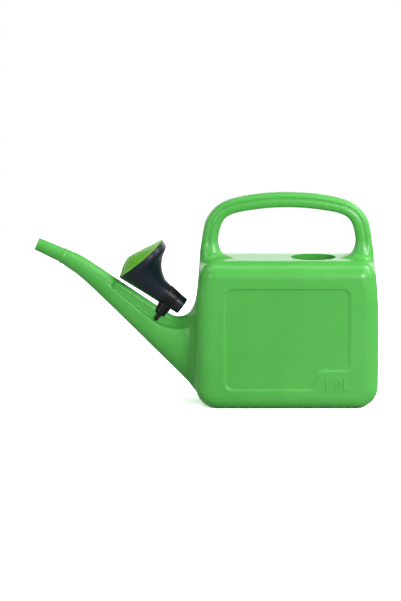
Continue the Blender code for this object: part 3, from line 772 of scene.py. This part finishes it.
tone = green.blend(seam * 0.25, tone, seam_green)
tone = green.blend(wear * 0.45, tone, scuffed_green)
green.surface(tone, 0.25 + 0.10 * streaks + 0.04 * grain + 0.22 * wear,
              0.0006 * swell + 0.00005 * grain + 0.00007 * seam)
for piece in (shell, tip_tube, filler_lip, capacity_mark):
    dress(piece, green, "can_body", "can")

# ---------------------------------------------------------------------------
# rose_body: black polypropylene spray head, moulded in one piece. A round neck, whose bore
# pushes over the spout's tip, flares into a cone that is cut off at a slant, so that its
# straight underside lies along the spout when it is parked.

rose_lower = [(-286.8, 219.0), (-283.5, 217.0), (-279.2, 214.2), (-269.0, 207.7), (-255.3, 199.2),
              (-241.6, 190.5), (-229.6, 182.9), (-220.2, 176.9), (-212.4, 172.0), (-200.4, 164.5),
              (-187.5, 156.3)]
rose_upper = [(-213.9, 280.8), (-208.9, 271.6), (-210.4, 264.6), (-213.9, 255.8), (-215.9, 244.9),
              (-216.0, 234.1), (-214.1, 224.8), (-209.8, 214.2), (-200.3, 203.1), (-186.6, 191.0),
              (-171.3, 178.0)]
rose_half_width = [47.7, 46.6, 43.4, 37.0, 30.4, 25.0, 21.2, 18.6, 16.2, 14.9, 13.5]
rose_wall = 1.6
rose_rows, rose_count = 90, 112
neck_angle = math.radians(37.0)
neck_axis = np.array([math.cos(neck_angle), 0.0, -math.sin(neck_angle)])


def through(values, count):
    """Rows of the Catmull-Rom curve through the values, at even steps from first to last."""
    p = with_ends(values)
    at = np.linspace(0.0, len(p) - 3, count)
    i = np.minimum(at.astype(int), len(p) - 4)
    return between_points(p[i], p[i + 1], p[i + 2], p[i + 3], (at - i)[:, None])


def rose_rings():
    """Ellipses from the face to the neck's end: one axis is the line from the underside to the
    upper side, the other is the half width along Y."""
    table = through(np.column_stack([rose_lower, rose_upper, rose_half_width]), rose_rows)
    middle, arm = (table[:, 0:2] + table[:, 2:4]) / 2.0, (table[:, 2:4] - table[:, 0:2]) / 2.0
    a = full_turn(rose_count)[None, :]
    x = middle[:, :1] + arm[:, :1] * np.cos(a)
    z = middle[:, 1:] + arm[:, 1:] * np.cos(a)
    return np.stack([x, table[:, 4:5] * np.sin(a), z], axis=-1)


rose_points, rose_quads = ring_grid(rose_rings())
rose_normals = point_normals(rose_points, rose_quads)
rose = solid_from("rose_head", *thickened(rose_points, rose_quads, rose_wall))
black = Finish("black_polypropylene", IOR=1.5, Specular_IOR_Level=0.33)
black_cloud = black.noise(16.0, 2.0)
black_grain = black.noise(900.0, 3.0)
dust = black.noise(120.0, 5.0, roughness=0.65).between(0.60, 0.80)
black_seam = 1.0 - abs(black.axis("Y")).between(0.0002, 0.0008)
deep_black, full_black = (0.003, 0.006, 0.013), (0.007, 0.011, 0.021)
dust_grey = (0.040, 0.046, 0.054)
black_tone = black.blend(black_cloud, deep_black, full_black)
black.surface(black.blend(dust * 0.14, black_tone, dust_grey),
              0.25 + 0.12 * black_cloud + 0.14 * dust,
              0.0004 * black_cloud + 0.00004 * black_grain + 0.00012 * black_seam)
dress(rose, black, "rose_body", "rose")

# ---------------------------------------------------------------------------
# rose_sieve: light green polypropylene plate, a low dome whose top lies off its middle, with
# rings of fine holes. Its flange lies on the rose's rim, and a short skirt inside the rim
# holds it.

face_middle = (np.array(rose_lower[0]) + np.array(rose_upper[0])) / 2.0
face_along = np.array(rose_upper[0]) - np.array(rose_lower[0])
face_along /= np.linalg.norm(face_along)
face_out = np.array([-face_along[1], face_along[0]])
dome_radius, dome_level = 43.7, 1.9
dome_rise, dome_offset = 14.0, -12.2
plate_thick = 1.6


def on_face(x, y, z):
    """Points given from the rose's face: x along its long axis, y across and z out of it."""
    spot = face_middle + x[..., None] * face_along + z[..., None] * face_out
    return np.stack([spot[..., 0], y, spot[..., 1]], axis=-1)


def dome_rings(share, level, count=96):
    """Rings of the dome, s from 0 at its top to 1 at its edge: centre offset (1 - s), radius s r,
    height rise (1 - s^q), with s eased to hypot(s, 0.03) at the top, where q grows from 1.1 on the
    long side to 1.95 on the short one."""
    a = full_turn(count)[None, :]
    s = np.asarray(share)[:, None]
    q = 1.1 + 0.425 * (1.0 - np.cos(a))
    height = level + dome_rise * (1.0 - np.hypot(s, 0.03) ** q)
    reach = s * dome_radius
    return on_face(dome_offset * (1.0 - s) + reach * np.cos(a), reach * np.sin(a), height)


def face_rings(profile, count=96):
    """Circles round the middle of the face, from (radius, height) pairs."""
    a = full_turn(count)[None, :]
    radius, height = (np.array(column)[:, None] for column in zip(*profile))
    return on_face(radius * np.cos(a), radius * np.sin(a), height + 0.0 * a)


def face_outwards(mesh):
    """Merge doubled points, then turn every face to point out."""
    work = bmesh.new()
    work.from_mesh(mesh)
    bmesh.ops.remove_doubles(work, verts=work.verts, dist=1e-7)
    bmesh.ops.recalc_face_normals(work, faces=work.faces)
    work.to_mesh(mesh)
    work.free()


def closed_solid(name, rings):
    """A solid from rings whose first and last ring close on a point in their middle."""
    ends = [np.repeat(ring.mean(axis=0)[None, None], rings.shape[1], axis=1)
            for ring in (rings[0], rings[-1])]
    made = solid_from(name, *ring_grid(np.concatenate([ends[0], rings, ends[1]])))
    face_outwards(made.data)
    return made


def carved(name, base, *changes):
    """The base after exact Booleans with its tools, one after another; the tools are dropped."""
    for operation, tool in changes:
        change = base.modifiers.new(operation, "BOOLEAN")
        change.operation = operation
        change.solver = "EXACT"
        change.object = tool
    graph = bpy.context.evaluated_depsgraph_get()
    mesh = bpy.data.meshes.new_from_object(base.evaluated_get(graph))
    for used in [base] + [tool for _, tool in changes]:
        bpy.data.objects.remove(used, do_unlink=True)
    mesh.shade_smooth()
    mesh.set_sharp_from_angle(angle=math.radians(35.0))
    return placed(name, mesh)


shares = np.linspace(0.0, 1.0, 27)[1:]
inner_share = 0.975
flange = [(44.6, 1.9), (46.3, 1.9), (46.9, 1.75), (47.2, 1.4), (47.2, 0.7), (46.9, 0.3),
          (44.6, 0.3), (44.5, -1.9), (44.2, -2.0), (43.0, -2.0)]
plate = closed_solid("plate", np.vstack([
    dome_rings(shares, dome_level), face_rings(flange),
    dome_rings(shares[::-1] * inner_share, dome_level - plate_thick)]))

# The holes lie in rings of 6, 12, 18 and so on round the dome's top, every other ring turned by
# half a step. Each is cut by a pin of ten sides that stands square to the face.
hole_radius, hole_pitch, hole_rows = 0.95, 5.0, 8
pin_corners, pin_low, pin_high = 10, -4.0, 20.0
row = np.concatenate([[0.0]] + [np.full(6 * k, float(k)) for k in range(1, hole_rows)])
turn_of_hole = np.concatenate([[0.0]] + [(np.arange(6 * k) + 0.5 * (k % 2)) * math.pi / (3 * k)
                                         for k in range(1, hole_rows)])
hole_reach = row * hole_pitch
hole_x = dome_offset * (1.0 - hole_reach / dome_radius) + hole_reach * np.cos(turn_of_hole)
hole_y = hole_reach * np.sin(turn_of_hole)
pin_turn = full_turn(pin_corners)[None, None, :]
pin_x = hole_x[:, None, None] + hole_radius * np.cos(pin_turn)
pin_y = hole_y[:, None, None] + hole_radius * np.sin(pin_turn)
pin_z = np.array([pin_low, pin_high])[None, :, None] + 0.0 * pin_x
pins = on_face(pin_x + 0.0 * pin_z, pin_y + 0.0 * pin_z, pin_z)
pin_start = np.arange(len(hole_x))[:, None] * 2 * pin_corners
side = np.arange(pin_corners)
next_side = np.roll(side, -1)
pin_side = np.column_stack([side, next_side, next_side + pin_corners, side + pin_corners])
pin_sides = (pin_start[:, None] + pin_side).reshape(-1, 4)
pin_ends = np.concatenate([pin_start + side[::-1], pin_start + side + pin_corners])
cutters = bpy.data.meshes.new("pins")
cutters.from_pydata((pins.reshape(-1, 3) * MM).tolist(), [],
                    pin_sides.tolist() + pin_ends.tolist())
face_outwards(cutters)
sieve = carved("sieve_plate", plate, ("DIFFERENCE", placed("pins", cutters)))

lime = Finish("lime_polypropylene", IOR=1.5, Specular_IOR_Level=0.18)
lime_cloud = lime.noise(40.0, 2.0)
lime_grain = lime.noise(1100.0, 2.0)
lime_dirt = lime.noise(300.0, 5.0, roughness=0.7).between(0.58, 0.75)
deep_lime, full_lime = (0.086, 0.370, 0.010), (0.110, 0.420, 0.014)
dull_lime = (0.040, 0.200, 0.012)
lime_tone = lime.blend(lime_cloud, deep_lime, full_lime)
lime.surface(lime.blend(lime_dirt * 0.18, lime_tone, dull_lime),
             0.34 + 0.10 * lime_cloud + 0.15 * lime_dirt,
             0.0002 * lime_cloud + 0.00004 * lime_grain)
dress(sieve, lime, "rose_sieve", "sieve")

# ---------------------------------------------------------------------------
# parking_clip: matt black polypropylene. A ring grips the rose's neck, and a ribbed barrel below
# it carries two fingers that straddle the rail on top of the spout.

ring_middle = np.array([-200.0, 0.0, 182.7])
down_angle = math.radians(56.0)
barrel_axis = np.array([-math.cos(down_angle), 0.0, -math.sin(down_angle)])
rail_along = np.array([math.sin(down_angle), 0.0, -math.cos(down_angle)])
neck_clearance = 0.3


def flat_solid(name, outline, low, high, bevel=0.45):
    """A plate between two levels of Y: its convex outline, drawn in along the lines to its middle
    by the bevel at each end."""
    outline = np.asarray(outline, float)
    arm = outline - outline.mean(axis=0)
    shrink = 1.0 - bevel / np.linalg.norm(arm, axis=1).min()
    levels = [(shrink, low), (1.0, low + bevel), (1.0, high - bevel), (shrink, high)]
    rings = np.array([np.column_stack([*(outline.mean(axis=0) + arm * size).T,
                                       np.full(len(outline), level)]) for size, level in levels])
    return closed_solid(name, rings[..., [0, 2, 1]])


def from_ring(along, down):
    """X and Z of points given from the ring's middle, along the rail and down the barrel."""
    along, down = np.asarray(along, float)[:, None], np.asarray(down, float)[:, None]
    return (ring_middle + along * rail_along + down * barrel_axis)[:, ::2]


ring_profile = [(-11.0, 8.0), (-11.0, 17.7), (-10.6, 18.2), (-9.9, 18.4), (-1.0, 17.7),
                (-0.6, 17.2), (0.0, 17.2), (0.4, 17.55), (9.9, 16.6), (10.7, 16.3), (11.0, 15.9),
                (11.0, 8.0)]
grip = closed_solid("grip", turned(ring_middle, neck_axis, ring_profile))
barrel_radius = 12.2
rib_top, rib_pitch, rib_depth = 16.2, 3.1, 0.8
ribs = [(rib_top + k * rib_pitch + step, barrel_radius - sunk) for k in range(5)
        for step, sunk in ((0.0, 0.0), (0.25, rib_depth), (1.15, rib_depth), (1.4, 0.0))]
barrel = closed_solid("barrel", turned(ring_middle, barrel_axis, [
    (9.0, barrel_radius), *ribs, (31.2, barrel_radius), (32.0, 11.9), (34.0, 10.0), (34.4, 9.2)]))
finger_half, finger_top, finger_end = 3.8, 26.0, 42.4
finger_inside, finger_outside = 7.1, 10.5
tip_turn = np.radians(np.arange(15, 166, 15))
finger_outline = np.vstack([
    from_ring([-finger_half] * 2, [finger_top, finger_end]),
    from_ring(-finger_half * np.cos(tip_turn), finger_end + finger_half * np.sin(tip_turn)),
    from_ring([finger_half] * 2, [finger_end, finger_top])])
fingers = [flat_solid("finger", finger_outline, *levels) for levels in
           ((-finger_outside, -finger_inside), (finger_inside, finger_outside))]
# A flat lug on the ring's front, and the slot between the fingers that the rail goes into
lug_corners = corner_rounded([(-5.2, -2.6), (5.2, -2.6), (5.2, 3.4), (-5.2, 3.4)], [1.2] * 4, 4)
neck_across = np.array([neck_axis[2], -neck_axis[0]])
lug_outline = ((ring_middle + 1.2 * neck_axis)[::2] + lug_corners[:, :1] * neck_axis[::2]
               - lug_corners[:, 1:] * neck_across)
lug = flat_solid("lug", lug_outline, -18.9, -12.0, 0.5)
slot_root = 23.15
slot_outline = from_ring([-14.0, 14.0, 14.0, -14.0], [slot_root, slot_root, 60.0, 60.0])
slot = flat_solid("slot", slot_outline, -finger_inside, finger_inside, 0.05)
neck = closed_solid("neck", (rose_points + rose_normals * neck_clearance)
                    .reshape(rose_rows, rose_count, 3))
clip = carved("parking_clip_detail", grip, ("UNION", barrel), ("DIFFERENCE", slot),
              ("UNION", fingers[0]), ("UNION", fingers[1]), ("UNION", lug), ("DIFFERENCE", neck))

matt = Finish("matt_black_polypropylene", IOR=1.5, Specular_IOR_Level=0.3)
matt_cloud = matt.noise(60.0, 3.0)
matt_grain = matt.noise(1300.0, 3.0)
matt_rub = matt.noise(500.0, 4.0, (1.0, 1.0, 0.4), 0.7).between(0.60, 0.75)
deep_matt, full_matt = (0.002, 0.002, 0.003), (0.005, 0.004, 0.007)
rubbed_grey = (0.030, 0.030, 0.036)
matt_tone = matt.blend(matt_cloud, deep_matt, full_matt)
matt.surface(matt.blend(matt_rub * 0.16, matt_tone, rubbed_grey),
             0.34 + 0.12 * matt_cloud + 0.14 * matt_rub,
             0.0002 * matt_cloud + 0.00006 * matt_grain)
dress(clip, matt, "parking_clip", "rose")

# ---------------------------------------------------------------------------
# The stage: a plain pale floor, a white surround, soft studio lights and the camera.

floor_level, floor_near, floor_far = -0.0004, -4.0, 2.0
floor_mesh = bpy.data.meshes.new("floor")
floor_mesh.from_pydata([(x, y, floor_level) for x, y in ((-3.0, floor_near), (3.0, floor_near),
                                                         (3.0, floor_far), (-3.0, floor_far))],
                       [], [(0, 1, 2, 3)])
floor = placed("floor", floor_mesh)
pale = Finish("pale_floor", Base_Color=(0.38, 0.38, 0.38, 1.0), Roughness=0.8,
              Specular_IOR_Level=0.2)
lit = pale.node("ShaderNodeBsdfDiffuse", {}, {"Color": (3.0, 3.0, 3.0, 1.0)})
direct = pale.node("ShaderNodeLightPath", {}, {}, "Is Camera Ray")
dim = Amount(pale, pale.shader.outputs["BSDF"])
mixed = pale.node("ShaderNodeMixShader", {}, {0: direct, 1: dim, 2: lit})
pale.feed(pale.tree.nodes["Material Output"], {"Surface": mixed})
floor.data.materials.append(pale.material)


def softbox(name, place, target, width, height, power):
    """A rectangular area light at a place, turned to face a target."""
    light = bpy.data.lights.new(name, "AREA")
    light.shape = "RECTANGLE"
    light.size = width
    light.size_y = height
    light.energy = power
    lamp = placed(name, light)
    lamp.location = place
    aim = Vector(target) - Vector(place)
    lamp.rotation_euler = aim.to_track_quat("-Z", "Y").to_euler()


softbox("key", (0.95, -1.75, 1.05), (0.0, 0.0, 0.18), 0.8, 0.6, 36.0)
softbox("side", (1.5, -0.25, 1.1), (0.0, 0.0, 0.2), 0.5, 0.8, 8.0)
softbox("overhead", (-0.1, -0.15, 2.0), (-0.1, -0.1, 0.0), 3.0, 0.16, 15.0)
softbox("fill", (-1.35, -1.75, 1.0), (-0.15, 0.0, 0.2), 0.5, 0.6, 9.5)
softbox("rim", (1.1, 0.3, 1.45), (-0.2, 0.0, 0.2), 0.5, 0.5, 10.0)

# The surround looks white. Its light is softer from high up, and has a bright band low down behind
# the object, which the glossy edges catch.
world = bpy.data.worlds.new("studio")
bpy.context.scene.world = world
studio = Nodes(world)
toward = studio.node("ShaderNodeTexCoord", {}, {}, "Generated")
toward_y, toward_z = (studio.node("ShaderNodeSeparateXYZ", {}, {"Vector": toward}, name)
                      for name in ("Y", "Z"))
behind = 1.9 * toward_y.between(0.3, 0.9)
low_band = toward_z.between(0.02, 0.12) * (1.0 - toward_z.between(0.22, 0.42))
dome = 0.62 - 0.37 * toward_z.between(0.1, 0.6)
seen = studio.node("ShaderNodeLightPath", {}, {}, "Is Camera Ray")
studio.feed(studio.tree.nodes["Background"], {
    "Color": (1.0, 1.0, 1.0, 1.0), "Strength": (behind * low_band + dome).at_least(seen)})

camera = bpy.data.cameras.new("camera")
camera.lens = 158.85
camera.sensor_width = 36.0
camera_object = placed("camera", camera)
camera_object.location = (-0.14792, -4.5, 0.9315)
camera_object.rotation_euler = (math.radians(90.0 - 9.517), 0.0, 0.0)
bpy.context.scene.camera = camera_object
bpy.context.scene.view_settings.view_transform = "Standard"
